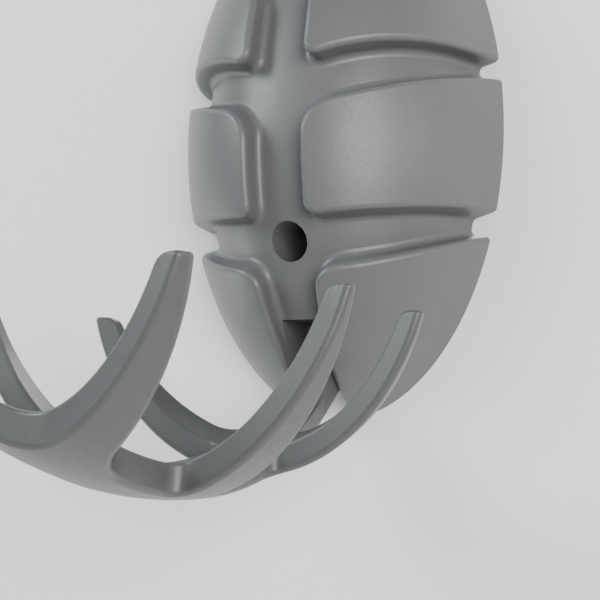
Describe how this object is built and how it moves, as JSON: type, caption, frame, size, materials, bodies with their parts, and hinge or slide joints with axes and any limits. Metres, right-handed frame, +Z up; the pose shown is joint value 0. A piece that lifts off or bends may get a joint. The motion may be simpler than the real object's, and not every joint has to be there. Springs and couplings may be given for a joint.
{
  "type": "folding wall hook",
  "caption": "Folding wall hook: an egg-shaped base with grooved pads and an antler-like hook that turns up on a pin and lies flush in the grooves.",
  "frame": {"origin": "half way between the two wall screws, in the wall plane", "axes": "+Z up along the wall, +Y into the wall, +X to the right seen from the front"},
  "size_m": [0.0748, 0.1042, 0.1367],
  "materials": {
    "base": "satin grey with a fine grain",
    "hook": "satin grey with a fine grain",
    "pin": "plain steel"
  },
  "bodies": {
    "base": {"base": "base", "pin": "pin"},
    "hook": {"hook": "hook"}
  },
  "joints": [
    {"name": "fold", "type": "hinge", "parent": "base", "child": "hook", "pos_m": [0, -0.01, -0.054], "axis": [-1, 0, 0], "range_deg": [0, 88]}
  ]
}
